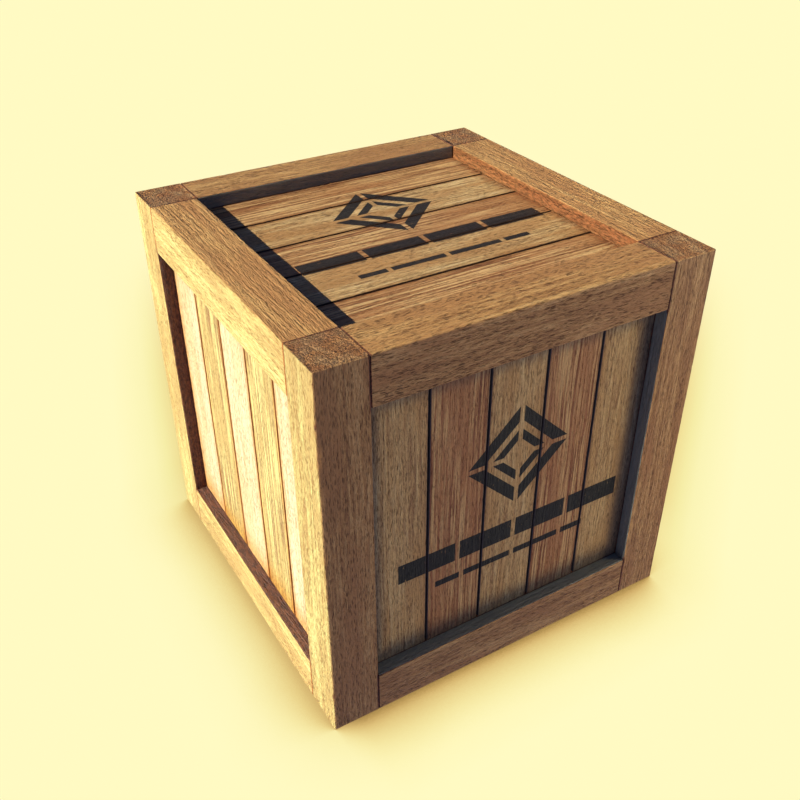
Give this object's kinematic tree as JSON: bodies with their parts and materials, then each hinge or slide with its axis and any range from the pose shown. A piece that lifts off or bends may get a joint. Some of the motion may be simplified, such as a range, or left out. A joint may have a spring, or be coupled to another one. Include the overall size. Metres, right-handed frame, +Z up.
{
  "type": "shipping crate",
  "caption": "Cubic wooden shipping crate: square-timber frame with planks set back in every face and a drop-in plank lid that lifts straight out",
  "frame": {"origin": "on the ground, under the middle of the crate", "axes": "+Z up and normal to the stacking face; -Y is the front face; -X is the left side; the lid lifts along +Z"},
  "size_m": [0.5, 0.5, 0.5],
  "materials": {
    "frame_wood": "planed golden-brown hardwood, open pores, waxed, eased arrises",
    "light_plank": "planed pale brown hardwood plank with open pores, satin",
    "red_plank": "planed reddish brown hardwood plank with open pores, satin",
    "batten_wood": "sawn pale softwood batten, matt",
    "dowel_wood": "turned pale hardwood dowel, matt",
    "screw_steel": "zinc-plated steel, slightly dulled"
  },
  "bodies": {
    "crate": {"corner_post_front_left": "frame_wood", "corner_post_front_right": "frame_wood", "corner_post_rear_left": "frame_wood", "corner_post_rear_right": "frame_wood", "top_rail_front": "frame_wood", "top_rail_rear": "frame_wood", "top_rail_left": "frame_wood", "top_rail_right": "frame_wood", "bottom_rail_front": "frame_wood", "bottom_rail_rear": "frame_wood", "bottom_rail_left": "frame_wood", "bottom_rail_right": "frame_wood", "front_plank_1": "light_plank", "front_plank_2": "red_plank", "front_plank_3": "light_plank", "front_plank_4": "red_plank", "front_plank_5": "light_plank", "rear_plank_1": "light_plank", "rear_plank_2": "red_plank", "rear_plank_3": "light_plank", "rear_plank_4": "red_plank", "rear_plank_5": "light_plank", "left_plank_1": "light_plank", "left_plank_2": "red_plank", "left_plank_3": "light_plank", "left_plank_4": "red_plank", "left_plank_5": "light_plank", "right_plank_1": "light_plank", "right_plank_2": "red_plank", "right_plank_3": "light_plank", "right_plank_4": "red_plank", "right_plank_5": "light_plank", "floor_plank_1": "light_plank", "floor_plank_2": "red_plank", "floor_plank_3": "light_plank", "floor_plank_4": "red_plank", "floor_plank_5": "light_plank", "upper_cleat_front": "batten_wood", "upper_cleat_rear": "batten_wood", "upper_cleat_left": "batten_wood", "upper_cleat_right": "batten_wood", "lower_cleat_front": "batten_wood", "lower_cleat_rear": "batten_wood", "lower_cleat_left": "batten_wood", "lower_cleat_right": "batten_wood", "floor_ledger_left": "batten_wood", "floor_ledger_right": "batten_wood", "floor_bearer": "batten_wood", "lid_ledger_left": "batten_wood", "lid_ledger_right": "batten_wood", "frame_dowels": "dowel_wood", "crate_screws": "screw_steel"},
    "lid": {"lid_plank_1": "red_plank", "lid_plank_2": "light_plank", "lid_plank_3": "red_plank", "lid_plank_4": "light_plank", "lid_plank_5": "red_plank", "lid_batten_left": "batten_wood", "lid_batten_right": "batten_wood", "lid_screws": "screw_steel"}
  },
  "joints": [
    {"name": "lid_lift", "type": "slide", "parent": "crate", "child": "lid", "axis": [0, 0, 1], "range_m": [0, 0.3]}
  ]
}
